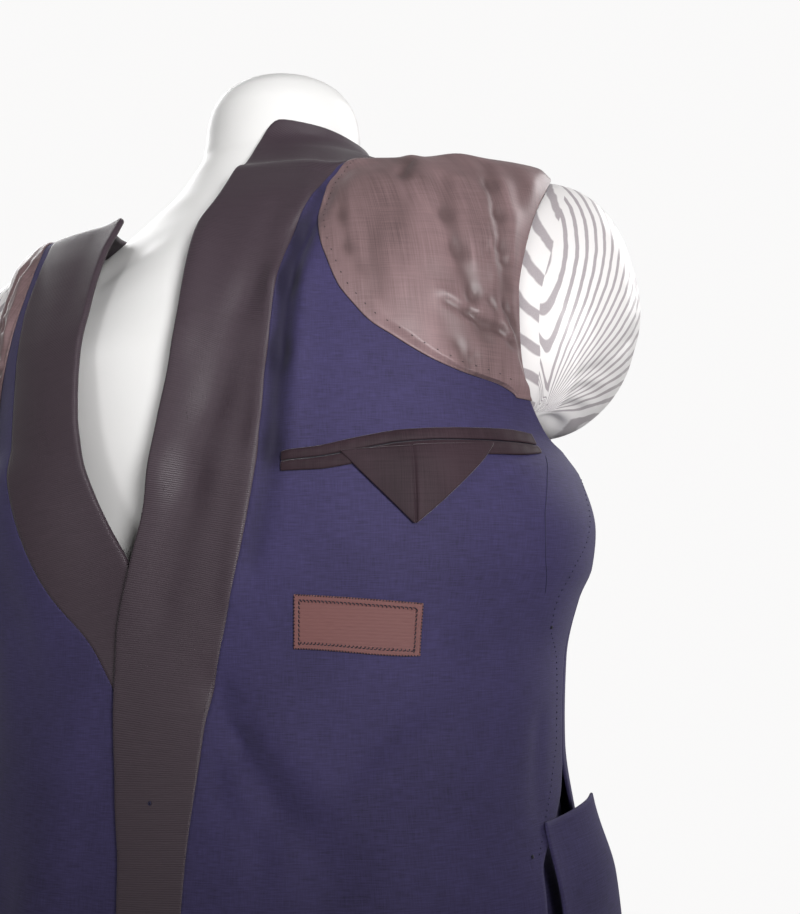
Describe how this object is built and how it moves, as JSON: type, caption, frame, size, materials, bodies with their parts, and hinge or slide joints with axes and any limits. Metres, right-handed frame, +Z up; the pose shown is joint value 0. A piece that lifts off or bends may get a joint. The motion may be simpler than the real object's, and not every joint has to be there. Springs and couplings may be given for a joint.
{
  "type": "tuxedo jacket on a dress form",
  "caption": "Dinner jacket worn inside out on a limbless white dress form, with a ribbed shawl facing, satin shoulder lining, bulging striped sleeve linings, an inside pocket and side vents.",
  "frame": {"origin": "centre of the dress form's flat base", "axes": "+Z up, the wearer's front faces -Y, +X is the side of the front with the pocket and label"},
  "size_m": [0.511, 0.3046, 0.8645],
  "materials": {
    "wool": "matt navy wool and mohair, wrong side",
    "ribbed": "ribbed silk facing with a low sheen",
    "satin": "satin lining",
    "striped": "white striped sleeve lining",
    "form": "white smooth form",
    "woven": "plain woven label",
    "button": "dark horn button"
  },
  "bodies": {
    "root": {"dress_form": "form", "front_r": "wool", "front_l": "wool", "back_r": "wool", "back_l": "wool", "shawl_r": "ribbed", "shawl_l": "ribbed", "shoulder_lining_front_r": "satin", "shoulder_lining_front_l": "satin", "shoulder_lining_back_r": "satin", "shoulder_lining_back_l": "satin", "sleeve_r": "wool", "sleeve_l": "wool", "sleeve_lining_r": "striped", "sleeve_lining_l": "striped", "vent_lap_r": "wool", "vent_lap_l": "wool", "pocket_jet_upper": "satin", "pocket_jet_lower": "satin", "pocket_tab": "satin", "label": "woven", "button": "button"}
  },
  "joints": []
}
